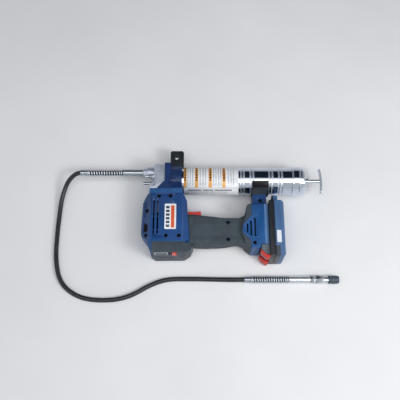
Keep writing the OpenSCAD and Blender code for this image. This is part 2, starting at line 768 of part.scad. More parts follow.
// ---- Hose ----
// Direction of the route at point i
function heading(i) = let (n = len(ROUTE), d = ROUTE[min(i + 1, n - 1)] - ROUTE[max(i - 1, 0)]) d / norm(d);
function ring(i, r, sides) = let (d = heading(i), s = [d.y, -d.x, 0] / norm([d.y, -d.x, 0]), u = cross(s, d))
    [for (k = [0 : sides - 1]) ROUTE[i] + r * (cos(k * 360 / sides) * s + sin(k * 360 / sides) * u)];
module hose() {
    sides = 10;
    rings = len(ROUTE);
    points = [for (i = [0 : rings - 1]) each ring(i, hose_r, sides)];
    skin = [for (i = [0 : rings - 2], k = [0 : sides - 1])
        let (n = (k + 1) % sides) [i * sides + k, i * sides + n, (i + 1) * sides + n, (i + 1) * sides + k]];
    color(charcoal) polyhedron(points, concat([[for (k = [sides - 1 : -1 : 0]) k]], skin,
        [[for (k = [0 : sides - 1]) (rings - 1) * sides + k]]));
}
module sleeve(x0, x1, r, at) {
    translate([0, at.y, at.z]) difference() {
        rod_x(x0, x1, r);
        rod_x(x0 - 1, x1 + 1, hose_r + 0.02);
    }
}
module hose_ferrule() {
    color(steel) rod_x(route_start.x, adapter_x, ferrule_r, route_start.y, route_start.z);
}
module hose_guard() { color(steel) sleeve(guard_x, route_start.x, guard_r, route_start); }
module hose_collar() { color(steel) sleeve(guard_x - 14.5, guard_x, 6.4, route_start); }
module tip_collar() { color(steel) sleeve(tip_guard_x - 13, tip_guard_x, 6, route_end); }
module tip_guard() { color(steel) sleeve(tip_guard_x, route_end.x, guard_r, route_end); }
module tip_ferrule() {
    color(steel) rod_x(route_end.x, tip_x, ferrule_r, route_end.y, route_end.z);
}
module tip_fitting() {
    x = tip_x;
    color(steel) {
        hex_x(x, x + 9, 8, route_end.y, route_end.z);
        rod_x(x + 9, x + 12, 5, route_end.y, route_end.z);
        hex_x(x + 12, x + 28, 8.4, route_end.y, route_end.z);
        rod_x(x + 28, x + 36, 6.6, route_end.y, route_end.z);
    }
}
module coupler_body() {
    x = coupler_x;
    color(charcoal) difference() {
        rod_x(x, x + 22, coupler_r, route_end.y, route_end.z);
        rod_x(x + 3, x + 23, jaws_r, route_end.y, route_end.z);
    }
}
module coupler_jaws() {
    x = coupler_x;
    color(steel) difference() {
        rod_x(x + 3, x + 21, jaws_r, route_end.y, route_end.z);
        rod_x(x + 9, x + 22, coupler_bore_r, route_end.y, route_end.z);
        rod_x(x + 2, x + 10, 1.5, route_end.y, route_end.z);
    }
}

housing_near();
housing_far();
grip_near();
grip_far();
housing_screws();
badge_plate();
pump_head();
head_plug();
check_ball();
check_spring();
outlet_adapter();
vent_valve_body();
vent_valve_stem();
filler_nipple();
strap_lug();
end_cap();
display_bezel();
display_window();
display_button();
led_lens();
circuit_board();
barrel_cradle();
motor_can();
motor_rotor();
motor_bearings();
gearbox_case();
crank_bearing();
crank();
crank_roller();
planet_gear_1();
planet_gear_2();
planet_gear_3();
plunger_yoke();
trigger();
trigger_switch();
terminal_block();
battery_case();
battery_cover();
battery_cells();
latch_near();
latch_far();
barrel_tube();
barrel_label();
barrel_cap();
follower_rod();
t_handle();
follower_plate();
follower_seal();
follower_spring();
hose();
hose_ferrule();
hose_guard();
hose_collar();
tip_collar();
tip_guard();
tip_ferrule();
tip_fitting();
coupler_body();
coupler_jaws();
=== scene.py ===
import json
import math

import bmesh
import bpy
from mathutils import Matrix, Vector


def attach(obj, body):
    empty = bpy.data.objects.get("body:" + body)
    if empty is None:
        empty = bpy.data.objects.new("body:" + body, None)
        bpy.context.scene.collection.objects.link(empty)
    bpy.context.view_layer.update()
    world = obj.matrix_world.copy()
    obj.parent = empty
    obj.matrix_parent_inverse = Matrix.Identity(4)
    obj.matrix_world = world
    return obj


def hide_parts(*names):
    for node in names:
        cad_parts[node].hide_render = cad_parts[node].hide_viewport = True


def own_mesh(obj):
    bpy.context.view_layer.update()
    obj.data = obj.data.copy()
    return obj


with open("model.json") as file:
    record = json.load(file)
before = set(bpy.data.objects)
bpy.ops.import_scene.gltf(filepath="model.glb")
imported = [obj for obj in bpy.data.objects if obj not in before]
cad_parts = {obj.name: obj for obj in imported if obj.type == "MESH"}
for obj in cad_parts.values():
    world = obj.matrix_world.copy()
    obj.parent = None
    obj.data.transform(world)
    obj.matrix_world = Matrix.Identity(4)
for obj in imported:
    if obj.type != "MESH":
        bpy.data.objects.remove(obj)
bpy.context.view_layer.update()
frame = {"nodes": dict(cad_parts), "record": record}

# The design frame has its zero at the barrel mouth, on the barrel's axis. Lengths below are
# millimetres in that frame, and place() turns them into metres in the row frame.
MM = 0.001
MOUTH = Vector((-104, 53, 36))
BARREL_R = 28.5
LABEL_R = 28.6
# Where each rolled groove of the barrel starts, in X
GROOVES = (118.5, 124.5, 138, 144, 177, 183.5, 197, 203.5)


def place(x, y, z):
    """A point of the design frame, in the row frame."""
    return (Vector((x, y, z)) + MOUTH) * MM


def row(x, y, z):
    """Row-frame millimetres as metres."""
    return Vector((x, y, z)) * MM


# ---------------------------------------------------------------- camera and light
def look_at(obj, target):
    obj.rotation_euler = (target - obj.location).to_track_quat("-Z", "Y").to_euler()


def make_camera():
    """Looks down at the gun from its grip side, 69 degrees above the floor."""
    target = row(-69.1, 11.1, 36)
    data = bpy.data.cameras.new("camera")
    data.lens = 53.4
    data.clip_start = 0.05
    data.clip_end = 20
    camera = bpy.data.objects.new("camera", data)
    camera.location = target + row(0, -439.3, 1159.6)
    bpy.context.scene.collection.objects.link(camera)
    look_at(camera, target)
    bpy.context.scene.camera = camera


def area_light(name, location, target, size, power):
    data = bpy.data.lights.new(name, "AREA")
    data.shape = "RECTANGLE"
    data.size, data.size_y = size
    data.energy = power
    light = bpy.data.objects.new(name, data)
    light.location = location
    bpy.context.scene.collection.objects.link(light)
    look_at(light, Vector(target))


def make_world():
    """A soft studio: pale all round, and dark and bluish high up behind the gun."""
    world = bpy.data.worlds.new("studio")
    world.use_nodes = True
    nodes, links = world.node_tree.nodes, world.node_tree.links

    def map_range(value, source, target):
        node = nodes.new("ShaderNodeMapRange")
        node.interpolation_type = "SMOOTHSTEP"
        for name, number in zip(("From Min", "From Max", "To Min", "To Max"), source + target):
            node.inputs[name].default_value = number
        links.new(value, node.inputs["Value"])
        return node.outputs[0]

    def math_node(operation, *values):
        node = nodes.new("ShaderNodeMath")
        node.operation = operation
        for value, socket in zip(values, node.inputs):
            links.new(value, socket)
        return node.outputs[0]

    split = nodes.new("ShaderNodeSeparateXYZ")
    links.new(nodes.new("ShaderNodeTexCoord").outputs["Generated"], split.inputs[0])
    behind = map_range(split.outputs["Y"], (0.04, 0.22), (0.0, 1.0))
    middle = map_range(math_node("ABSOLUTE", split.outputs["X"]), (0.35, 0.75), (1.0, 0.1))
    raised = map_range(split.outputs["Z"], (0.16, 0.32), (0.0, 1.0))
    dark = math_node("MULTIPLY", math_node("MULTIPLY", behind, middle), raised)
    sky = nodes.new("ShaderNodeMix")
    sky.data_type = "RGBA"
    sky.inputs[6].default_value = (0.70, 0.71, 0.73, 1)
    sky.inputs[7].default_value = (0.012, 0.020, 0.034, 1)
    links.new(dark, sky.inputs["Factor"])
    links.new(sky.outputs[2], nodes["Background"].inputs["Color"])
    nodes["Background"].inputs["Strength"].default_value = 0.8
    bpy.context.scene.world = world


def make_studio():
    """The world and two area lights."""
    make_world()
    area_light("overhead", (0.0, -0.42, 1.62), (0, 0, 0.03), (1.9, 0.95), 11)
    area_light("key", (1.0, -0.7, 1.3), (0.0, 0, 0.03), (0.5, 0.5), 12)
    bpy.context.scene.view_settings.view_transform = "Standard"


# ---------------------------------------------------------------- materials
def srgb(r, g, b):
    """A colour of 0 to 255 a channel, as linear values."""
    return tuple(((c / 255) ** 2.2) for c in (r, g, b)) + (1,)


class Shader:
    """A material's node tree, with short calls for the nodes that the looks use."""

    def __init__(self, name, **values):
        self.material = bpy.data.materials.new(name)
        self.material.use_nodes = True
        self.nodes = self.material.node_tree.nodes
        self.links = self.material.node_tree.links
        self.bsdf = self.nodes["Principled BSDF"]
        for socket, value in values.items():
            self.bsdf.inputs[socket.replace("_", " ")].default_value = value
        self.coord = self.nodes.new("ShaderNodeTexCoord").outputs["Object"]

    def wire(self, value, socket):
        if isinstance(value, bpy.types.NodeSocket):
            self.links.new(value, socket)
        else:
            socket.default_value = value

    def math(self, operation, a, b=0.0, clamp=False):
        node = self.nodes.new("ShaderNodeMath")
        node.operation = operation
        node.use_clamp = clamp
        self.wire(a, node.inputs[0])
        self.wire(b, node.inputs[1])
        return node.outputs[0]

    def stretch(self, scale):
        node = self.nodes.new("ShaderNodeMapping")
        node.inputs["Scale"].default_value = scale
        self.links.new(self.coord, node.inputs["Vector"])
        return node.outputs[0]

    def noise(self, scale, detail=3.0, rough=0.55, coord=None):
        node = self.nodes.new("ShaderNodeTexNoise")
        node.inputs["Scale"].default_value = scale
        node.inputs["Detail"].default_value = detail
        node.inputs["Roughness"].default_value = rough
        self.links.new(coord or self.coord, node.inputs["Vector"])
        return node.outputs["Fac"]

    def cells(self, scale):
        node = self.nodes.new("ShaderNodeTexVoronoi")
        node.inputs["Scale"].default_value = scale
        self.links.new(self.coord, node.inputs["Vector"])
        return node.outputs["Distance"]

    def ramp(self, fac, stops):
        node = self.nodes.new("ShaderNodeValToRGB")
        while len(node.color_ramp.elements) < len(stops):
            node.color_ramp.elements.new(0.5)
        for element, (at, colour) in zip(node.color_ramp.elements, stops):
            element.position = at
            element.color = colour if len(colour) == 4 else (*colour, 1)
        self.links.new(fac, node.inputs[0])
        return node.outputs[0]

    def span(self, fac, low, high):
        """A number from low to high as fac goes from 0.3 to 0.7."""
        node = self.nodes.new("ShaderNodeMapRange")
        node.inputs["From Min"].default_value = 0.3
        node.inputs["From Max"].default_value = 0.7
        node.inputs["To Min"].default_value = low
        node.inputs["To Max"].default_value = high
        self.links.new(fac, node.inputs["Value"])
        return node.outputs[0]

    def mix(self, fac, a, b):
        node = self.nodes.new("ShaderNodeMix")
        node.data_type = "RGBA"
        self.wire(fac, node.inputs["Factor"])
        self.wire(a, node.inputs[6])
        self.wire(b, node.inputs[7])
        return node.outputs[2]

    def axes(self):
        node = self.nodes.new("ShaderNodeSeparateXYZ")
        self.links.new(self.coord, node.inputs[0])
        return node.outputs

    def between(self, value, low, high):
        """1 where value lies from low to high, in metres."""
        above = self.math("GREATER_THAN", value, low)
        return self.math("MULTIPLY", above, self.math("LESS_THAN", value, high))

    def fade(self, value, low, high):
        """From 0 to 1 as value goes from low to high, in metres."""
        node = self.nodes.new("ShaderNodeMapRange")
        node.inputs["From Min"].default_value = low
        node.inputs["From Max"].default_value = high
        self.links.new(value, node.inputs["Value"])
        return node.outputs[0]

    def edges(self, low=0.52, high=0.6):
        """1 along outer edges, from the mesh's own pointiness."""
        node = self.nodes.new("ShaderNodeNewGeometry")
        scale = self.nodes.new("ShaderNodeMapRange")
        scale.inputs["From Min"].default_value = low
        scale.inputs["From Max"].default_value = high
        self.links.new(node.outputs["Pointiness"], scale.inputs["Value"])
        return scale.outputs[0]

    def colour(self, value):
        self.wire(value, self.bsdf.inputs["Base Color"])

    def rough(self, value):
        self.wire(value, self.bsdf.inputs["Roughness"])

    def round_edges(self, radius):
        """Shades hard edges as if they were rounded to radius, in metres."""
        node = self.nodes.new("ShaderNodeBevel")
        node.samples = 6
        node.inputs["Radius"].default_value = radius
        self.links.new(node.outputs[0], self.bsdf.inputs["Normal"])

    def bump(self, height, depth, strength=1.0):
        node = self.nodes.new("ShaderNodeBump")
        node.inputs["Distance"].default_value = depth
        node.inputs["Strength"].default_value = strength
        self.links.new(height, node.inputs["Height"])
        old = self.bsdf.inputs["Normal"]
        if old.is_linked:
            self.links.new(old.links[0].from_socket, node.inputs["Normal"])
        self.links.new(node.outputs[0], old)


def shade(colour, factor):
    """The colour made darker or brighter."""
    return tuple(c * factor for c in colour[:3]) + (1,)


def mottled(s, colour):
    """The colour, a little darker and brighter in soft patches."""
    return s.ramp(s.noise(38, 4), [(0.3, shade(colour, 0.86)), (0.7, shade(colour, 1.12))])


def nylon(s, colour, tones, rough=(0.36, 0.5), grain=0.00003, wear=0.10):
    """Finishes a moulded piece: spark-eroded grain and rubbed edges over its tones."""
    fine = s.math("MULTIPLY", s.edges(), s.span(s.noise(420, 4), 0.0, wear * 2))
    s.colour(s.mix(fine, tones, shade(colour, 2.1)))
    s.rough(s.span(s.noise(90, 5), *rough))
    s.round_edges(0.0011)
    s.bump(s.noise(1900, 2), grain)
    s.bump(s.noise(55, 2), 0.00012, 0.35)
    return s.material


def moulded(name, colour, *finish):
    """Moulded nylon of one colour."""
    s = Shader(name, IOR=1.5)
    return nylon(s, colour, mottled(s, colour), *finish)


def shell_nylon(name, colour, deep, pale, slope_highlight):
    """The housing's nylon: painted shade deep at the head and growing up the face towards it, a painted
    light band on the step under the head, paler on the foot, and a painted highlight on the slope beside
    the battery.
    """
    s = Shader(name, IOR=1.5)
    at = s.axes()
    # Painted shade: the head takes the deep tone, and the face grows darker towards the head.
    head = s.fade(at["Y"], place(0, -27.6, 0).y, place(0, -27.0, 0).y)
    face = s.math("MULTIPLY", s.fade(at["Y"], place(0, -112, 0).y, place(0, -46, 0).y), 0.5)
    # Painted light: the step band under the head is made paler, with a little of the slope's highlight.
    step = s.between(at["Y"], place(0, -39.6, 0).y, place(0, -27.6, 0).y)
    step = s.math("MULTIPLY", step, s.math("LESS_THAN", at["X"], place(10, 0, 0).x))
    foot = s.fade(at["X"], place(112, 0, 0).x, place(136, 0, 0).x)
    foot = s.math("MULTIPLY", foot, s.fade(at["Y"], place(0, -62, 0).y, place(0, -76, 0).y))
    # Painted highlight: the slope that runs down to the battery is made light.
    lit_slope = s.math("MULTIPLY", s.fade(at["X"], place(164, 0, 0).x, place(166, 0, 0).x),
                   s.fade(at["Z"], place(0, 0, 20).z, place(0, 0, 24).z))
    lit_slope = s.math("MULTIPLY", lit_slope, s.math("LESS_THAN", at["Y"], place(0, -61.5, 0).y))
    tones = s.mix(s.math("SUBTRACT", face, step, True), mottled(s, colour), mottled(s, deep))
    tones = s.mix(head, tones, mottled(s, deep))
    tones = s.mix(s.math("ADD", foot, step, True), tones, mottled(s, pale))
    tones = s.mix(s.math("ADD", lit_slope, s.math("MULTIPLY", step, 0.2), True), tones, mottled(s, slope_highlight))
    return nylon(s, colour, tones)


def cover_nylon(name, colour, corner):
    """The battery cover: blue, with its dark lower corner moulded on."""
    s = Shader(name, IOR=1.5)
    at = s.axes()
    dark = s.math("MULTIPLY", s.math("LESS_THAN", at["Y"], place(0, -150.6, 0).y),
                  s.math("LESS_THAN", at["X"], place(193.4, 0, 0).x))
    return nylon(s, colour, s.mix(dark, mottled(s, colour), mottled(s, corner)), (0.34, 0.46))


def saddle_nylon(name, colour, painted_shade_colour):
    """The barrel saddle: its upper band painted near black as shade in the cavity under the barrel, and
    smoother there; matt below.
    """
    s = Shader(name, IOR=1.32)
    # Painted shade: the upper band turns near black, as shade in the cavity under the barrel.
    wear_and_shade = s.fade(s.axes()["Y"], place(0, -23.6, 0).y, place(0, -22.4, 0).y)
    s.colour(s.mix(wear_and_shade, mottled(s, colour), mottled(s, painted_shade_colour)))
    s.rough(s.math("SUBTRACT", s.span(s.noise(90, 5), 0.42, 0.54), s.math("MULTIPLY", wear_and_shade, 0.12)))
    s.round_edges(0.0009)
    s.bump(s.noise(1900, 2), 0.00003)
    return s.material


def rubber(s, colour):
    """Finishes a rubber piece: matt and pebbled, paler along its edges."""
    wear_and_shade = s.ramp(s.noise(26, 5), [(0.32, shade(colour, 0.82)), (0.68, shade(colour, 1.2))])
    s.colour(s.mix(s.math("MULTIPLY", s.edges(), 0.25), wear_and_shade, shade(colour, 1.8)))
    s.rough(s.span(s.noise(60, 4), 0.55, 0.72))
    s.bump(s.cells(900), 0.00008, 0.7)
    return s.material


def soft_rubber(name, colour):
    """Soft skin: matt, with a fine pebble grain and handling marks."""
    return rubber(Shader(name, IOR=1.45), colour)


def grip_skin(name, colour):
    """The grip's skin: soft rubber, with fine cross ribs on its raised pads."""
    s = Shader(name, IOR=1.45)
    at = s.axes()
    pads = s.math("ADD", s.between(at["Y"], place(0, -100.2, 0).y, place(0, -90.4, 0).y),
                  s.between(at["Y"], place(0, -141, 0).y, place(0, -131, 0).y))
    pads = s.math("MULTIPLY", pads, s.between(at["X"], place(25, 0, 0).x, place(109, 0, 0).x))
    waves = s.math("SINE", s.math("MULTIPLY", at["X"], 2 * math.pi / 0.0026))
    rubber(s, colour)
    s.bump(s.math("MULTIPLY", pads, waves), 0.00022)
    return s.material


def polished(name, colour):
    """Bright plating with hairline polishing marks along X."""
    s = Shader(name, Metallic=1.0)
    s.colour(s.ramp(s.noise(12, 3), [(0.3, shade(colour, 0.93)), (0.7, colour)]))
    lines = s.noise(1, 3, 0.6, s.stretch((40, 900, 900)))
    smudge = s.noise(22, 5)
    s.rough(s.math("ADD", s.span(smudge, 0.04, 0.10), s.span(lines, 0.0, 0.03)))
    s.bump(lines, 0.000001, 0.3)
    return s.material


def plating(name, colour):
    """The barrel's plating: bright, with satin in the rolled grooves."""
    s = Shader(name, Metallic=1.0)
    x = s.axes()["X"]
    rolled = 0.0
    for start in GROOVES:
        low, high = place(start - 0.4, 0, 0).x, place(start + 3.4, 0, 0).x
        rolled = s.math("ADD", s.between(x, low, high), rolled)
    s.colour(s.ramp(s.noise(12, 3), [(0.3, shade(colour, 0.93)), (0.7, colour)]))
    lines = s.noise(1, 3, 0.6, s.stretch((900, 30, 30)))
    smooth = s.math("ADD", s.span(s.noise(22, 5), 0.05, 0.11), s.span(lines, 0.0, 0.03))
    s.rough(s.math("ADD", smooth, s.math("MULTIPLY", rolled, 0.30)))
    s.bump(lines, 0.000001, 0.3)
    return s.material


def satin(name, colour):
    """Brushed and lacquered bar: pale, with a broad soft highlight."""
    s = Shader(name, Metallic=0.7, IOR=1.6)
    s.colour(s.ramp(s.noise(30, 2), [(0.3, shade(colour, 0.95)), (0.7, colour)]))
    s.rough(s.span(s.noise(40, 2), 0.2, 0.26))
    return s.material


def turned(name, colour, rough=(0.22, 0.34)):
    """Turned or drawn steel with tool marks round its axis."""
    s = Shader(name, Metallic=1.0)
    marks = s.noise(1, 3, 0.6, s.stretch((2600, 60, 60)))
    s.colour(s.ramp(s.noise(45, 4), [(0.3, shade(colour, 0.8)), (0.7, shade(colour, 1.05))]))
    s.rough(s.math("ADD", s.span(s.noise(70, 4), *rough), s.span(marks, -0.04, 0.05)))
    s.bump(marks, 0.000012, 0.5)
    return s.material


def cast_metal(name, colour):
    """Bead-blasted casting: fine pits, a soft sheen and darker patches."""
    s = Shader(name, Metallic=0.85)
    s.colour(s.ramp(s.noise(60, 5), [(0.3, shade(colour, 0.88)), (0.7, shade(colour, 1.04))]))
    s.rough(s.span(s.noise(150, 4), 0.42, 0.54))
    s.bump(s.noise(1500, 3), 0.00006, 0.8)
    s.bump(s.cells(420), 0.00004, 0.4)
    return s.material


def hose_cover(name):
    """Smooth rubber cover with a satin skin."""
    s = Shader(name, IOR=1.5)
    s.colour(s.ramp(s.noise(80, 5), [(0.3, srgb(24, 27, 31)), (0.7, srgb(42, 47, 53))]))
    s.rough(s.span(s.noise(120, 4), 0.30, 0.46))
    s.bump(s.noise(1300, 2), 0.00004, 0.6)
    return s.material


def clear_dark(name):
    """Smoked window with an anti-glare face."""
    s = Shader(name, IOR=1.3, Specular_IOR_Level=0.1)
    s.colour(s.ramp(s.noise(70, 3), [(0.3, (0.003, 0.004, 0.005)), (0.7, (0.009, 0.010, 0.012))]))
    s.rough(s.span(s.noise(200, 4), 0.22, 0.32))
    return s.material


def printed_film(name):
    """White film: its whiteness varies a little, and it has a satin face."""
    s = Shader(name, IOR=1.5)
    paper = s.ramp(s.noise(60, 4), [(0.3, srgb(218, 222, 227)), (0.7, srgb(234, 237, 241))])
    s.rough(s.span(s.noise(150, 3), 0.28, 0.4))
    s.bump(s.noise(700, 2), 0.00001, 0.5)
    return s, paper


def blank_film():
    """White film with nothing printed on it."""
    s, paper = printed_film("blank_film")
    s.colour(paper)
    return s.material


def badge_film():
    """Badge with one plain bar and a row of dark blocks, and no lettering."""
    s, paper = printed_film("badge_film")
    at = s.axes()
    low, high = place(-23.4, -114.2, 0), place(-16.4, -67.0, 0)
    along = s.between(at["Y"], low.y, high.y)
    bar = s.math("MULTIPLY", s.between(at["X"], low.x, high.x), along)
    row_of_blocks = s.between(at["X"], place(-33.6, 0, 0).x, place(-26.2, 0, 0).x)
    gaps = s.math("PINGPONG", s.math("SUBTRACT", at["Y"], low.y), 0.00393)
    blocks = s.math("MULTIPLY", s.math("GREATER_THAN", gaps, 0.00125), along)
    printed = s.mix(s.math("MULTIPLY", blocks, row_of_blocks), paper, srgb(46, 60, 80))
    s.colour(s.mix(bar, printed, srgb(206, 88, 58)))
    return s.material


def barrel_film():
    """Barrel label: four bands with plain dark blocks, and rows of specks in place of small print."""
    s, paper = printed_film("barrel_film")
    at = s.axes()
    axis = place(0, 0, 0)
    turn = s.math("ARCTAN2", s.math("SUBTRACT", axis.y, at["Y"]), s.math("SUBTRACT", at["Z"], axis.z))
    arc = s.math("MULTIPLY", turn, LABEL_R * MM)

    def part_of_turn(low, high):
        return s.between(turn, math.radians(low), math.radians(high))

    def stripes(edges):
        total = 0.0
        for x0, x1 in edges:
            total = s.math("ADD", s.between(at["X"], place(x0, 0, 0).x, place(x1, 0, 0).x), total)
        return total

    upper = part_of_turn(-150, 48.6)
    bands = s.math("MULTIPLY", stripes(BANDS), upper)
    blocks = s.math("MULTIPLY", stripes([(a + 1.6, b - 1.4) for a, b in BANDS]), part_of_turn(-60, 20))
    blocks = s.math("MULTIPLY", blocks, s.math("GREATER_THAN", s.math("PINGPONG", arc, 0.0031), 0.0008))
    specks = s.math("GREATER_THAN", s.noise(1500, 1), 0.47)
    print_rows = stripes([(x - 0.75, x + 0.75) for x in PRINT_ROWS])
    print_rows = s.math("MULTIPLY", print_rows, part_of_turn(-62, 39))
    foot_rows = s.math("MULTIPLY", s.math("ADD", part_of_turn(70, 73.5), part_of_turn(78, 81.5)),
                       stripes([(4, 92)]))
    specks = s.math("MULTIPLY", s.math("ADD", print_rows, foot_rows), specks)
    heading = s.math("MULTIPLY", part_of_turn(58.6, 64.6), stripes([(9, 38), (41, 63), (65, 101)]))
    heading = s.math("MULTIPLY", heading,
                     s.math("GREATER_THAN", s.math("PINGPONG", at["X"], 0.0013), 0.0002))
    printed = s.mix(part_of_turn(50.2, 52.2), paper, srgb(176, 178, 182))
    printed = s.mix(specks, printed, srgb(112, 116, 124))
    printed = s.mix(heading, printed, srgb(34, 36, 40))
    printed = s.mix(bands, printed, srgb(226, 166, 92))
    s.colour(s.mix(blocks, printed, srgb(66, 34, 16)))
    return s.material


def circuit_green():
    """Green lacquer over a circuit board."""
    s = Shader("board_lacquer", IOR=1.5)
    s.colour(s.ramp(s.cells(260), [(0.1, srgb(20, 92, 52)), (0.6, srgb(34, 122, 70))]))
    s.rough(s.span(s.noise(200, 3), 0.25, 0.4))
    return s.material


def wound_copper():
    """Copper wire in rows."""
    s = Shader("windings", Metallic=1.0)
    wires = s.noise(1, 2, 0.5, s.stretch((900, 60, 900)))
    s.colour(s.ramp(wires, [(0.35, srgb(120, 62, 32)), (0.65, srgb(196, 120, 70))]))
    s.rough(s.span(wires, 0.25, 0.45))
    s.bump(wires, 0.0001)
    return s.material


# Bands on the barrel label and rows of small print between them, as X in millimetres
BANDS = [(1.0, 7.2), (24.3, 31.2), (52.6, 59.8), (81, 88)]
PRINT_ROWS = [9.9, 14.5, 20.0, 35.1, 41.2, 46.1, 63.2, 68.0, 73.6, 78.2, 93.4, 99.2, 103.9]
# The looks of the record's material slots
LOOKS = {
    # The housing's second colour is painted shade at the head, and its last colour a painted highlight
    # on the slope beside the battery.
    "blue_shell": shell_nylon("blue_nylon", srgb(22, 68, 124), srgb(19, 42, 82), srgb(31, 81, 136),
                              srgb(94, 128, 174)),
    "grip_rubber": grip_skin("grip_skin", srgb(58, 68, 75)),
    "black_screw": turned("black_oxide", srgb(38, 39, 42), (0.35, 0.5)),
    "badge": badge_film(),
    "cast_head": cast_metal("cast_aluminium", srgb(200, 208, 222)),
    "steel": turned("turned_steel", srgb(172, 178, 186)),
    "chrome": polished("polished_steel", srgb(216, 222, 232)),
    "barrel_chrome": plating("barrel_plating", srgb(212, 220, 232)),
    "black_plastic": moulded("black_nylon", srgb(34, 39, 44), (0.3, 0.45)),
    "slate_plastic": moulded("slate_nylon", srgb(54, 64, 73), (0.42, 0.56)),
    "grey_plastic": moulded("grey_nylon", srgb(92, 103, 114), (0.4, 0.52)),
    "dark_window": clear_dark("smoked_window"),
    "red_plastic": moulded("red_acetal", srgb(206, 70, 64), (0.26, 0.38), 0.00001),
    "board": circuit_green(),
    "copper_rotor": wound_copper(),
    "battery_blue": cover_nylon("steel_blue_nylon", srgb(66, 98, 140), srgb(48, 55, 60)),
    "cell_wrap": moulded("cell_wrap", srgb(60, 140, 110), (0.2, 0.3), 0.00001),
    "seal_rubber": soft_rubber("oiled_rubber", srgb(36, 37, 38)),
    "hose_rubber": hose_cover("hose_cover"),
}
LATCH_RED = moulded("latch_acetal", srgb(190, 48, 38), (0.34, 0.46), 0.00001)
SPRING_WIRE = turned("spring_wire", srgb(204, 210, 218), (0.25, 0.35))
# Nodes that differ from the rest of their slot
SPECIAL = {
    "barrel_label": barrel_film(),
    "battery_tag": blank_film(),
    # The cradle's near-black second colour is painted shade.
    "barrel_cradle": saddle_nylon("saddle_nylon", srgb(44, 52, 58), srgb(9, 12, 15)),
    "display_bezel": moulded("bezel_nylon", srgb(138, 146, 152), (0.3, 0.4)),
    "latch_near": LATCH_RED,
    "latch_far": LATCH_RED,
    "tip_ferrule": turned("bright_steel", srgb(222, 226, 232), (0.3, 0.42)),
    "tip_fitting": turned("fitting_steel", srgb(196, 202, 210), (0.2, 0.3)),
    "t_handle": satin("satin_chrome", srgb(214, 219, 227)),
    "hose_guard": SPRING_WIRE,
    "tip_guard": SPRING_WIRE,
    "coupler_body": moulded("coupler_cover", srgb(64, 74, 84), (0.4, 0.5)),
}
SLOT_OF = {part["node"]: part["material_slot"] for part in frame["record"]["subparts"]}
BODIES = frame["record"]["behaviour"]["bodies"]
BODY_OF = {node: body for body, nodes in BODIES.items() for node in nodes}


# ---------------------------------------------------------------- mesh helpers
def shade_smooth(mesh, angle=32):
    for polygon in mesh.polygons:
        polygon.use_smooth = True
    mesh.set_sharp_from_angle(angle=math.radians(angle))


def finish_piece(obj, node, look=None, stands_in=True):
    """Gives a piece its material, its body and, where it stands for a CAD node, that node."""
    slot = look or SLOT_OF[node]
    obj.data.materials.clear()
    obj.data.materials.append(SPECIAL[node] if node in SPECIAL and stands_in else LOOKS[slot])
    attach(obj, BODY_OF[node])
    if stands_in:
        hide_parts(node)
    return obj


def mesh_object(name, verts, faces, angle=32):
    mesh = bpy.data.meshes.new(name)
    mesh.from_pydata([tuple(v) for v in verts], [], faces)
    mesh.update()
    bm = bmesh.new()
    bm.from_mesh(mesh)
    bmesh.ops.recalc_face_normals(bm, faces=bm.faces)
    bm.to_mesh(mesh)
    bm.free()
    shade_smooth(mesh, angle)
    obj = bpy.data.objects.new(name, mesh)
    bpy.context.scene.collection.objects.link(obj)
    return obj


def cad_copy(node):
    """The CAD node's mesh as a welded copy with clean flat faces."""
    bm = bmesh.new()
    bm.from_mesh(frame["nodes"][node].data)
    bmesh.ops.remove_doubles(bm, verts=bm.verts, dist=0.00002)
    bmesh.ops.dissolve_limit(bm, angle_limit=math.radians(0.8), verts=bm.verts, edges=bm.edges)
    mesh = bpy.data.meshes.new(node + "_shape")
    bm.to_mesh(mesh)
    bm.free()
    obj = bpy.data.objects.new(node + "_shape", mesh)
    bpy.context.scene.collection.objects.link(obj)
    return obj


def apply_modifiers(obj):
    """Replaces the mesh by what its modifiers make of it."""
    bpy.context.view_layer.update()
    done = bpy.data.meshes.new_from_object(obj.evaluated_get(bpy.context.evaluated_depsgraph_get()))
    obj.modifiers.clear()
    obj.data = done
    return obj


def bevelled(node, width=0.8, segments=3):
    """A CAD node with its edges rounded to width, in millimetres."""
    obj = cad_copy(node)
    modifier = obj.modifiers.new("round", "BEVEL")
    modifier.width = width * MM
    modifier.segments = segments
    modifier.limit_method = "ANGLE"
    modifier.angle_limit = math.radians(24)
    modifier.miter_outer = "MITER_ARC"
    modifier.harden_normals = True
    shade_smooth(obj.data, 180)
    apply_modifiers(obj)
    return finish_piece(obj, node)


def shell(node, width=0.8, shortest=12):
    """A CAD node with its long outer edges rounded, for shells with many small cut-outs."""
    obj = cad_copy(node)
    bm = bmesh.new()
    bm.from_mesh(obj.data)
    weight = bm.edges.layers.float.new("bevel_weight_edge")
    for edge in bm.edges:
        outer = edge.is_manifold and edge.is_convex and edge.calc_face_angle(0) > math.radians(24)
        edge[weight] = float(outer and edge.calc_length() > shortest * MM)
    bm.to_mesh(obj.data)
    bm.free()
    shade_smooth(obj.data, 24)
    modifier = obj.modifiers.new("round", "BEVEL")
    modifier.width = width * MM
    modifier.segments = 4
    modifier.limit_method = "WEIGHT"
    modifier.use_clamp_overlap = False
    modifier.miter_outer = "MITER_ARC"
    modifier.harden_normals = True
    apply_modifiers(obj)
    return finish_piece(obj, node)


def melted(node, voxel, smooth):
    """A CAD node remeshed and relaxed into the soft form of a moulded skin."""
    obj = cad_copy(node)
    remesh = obj.modifiers.new("skin", "REMESH")
    remesh.mode = "VOXEL"
    remesh.voxel_size = voxel * MM
    relax = obj.modifiers.new("relax", "SMOOTH")
    relax.factor = 0.5
    relax.iterations = smooth
    apply_modifiers(obj)
    shade_smooth(obj.data, 60)
    return finish_piece(obj, node)


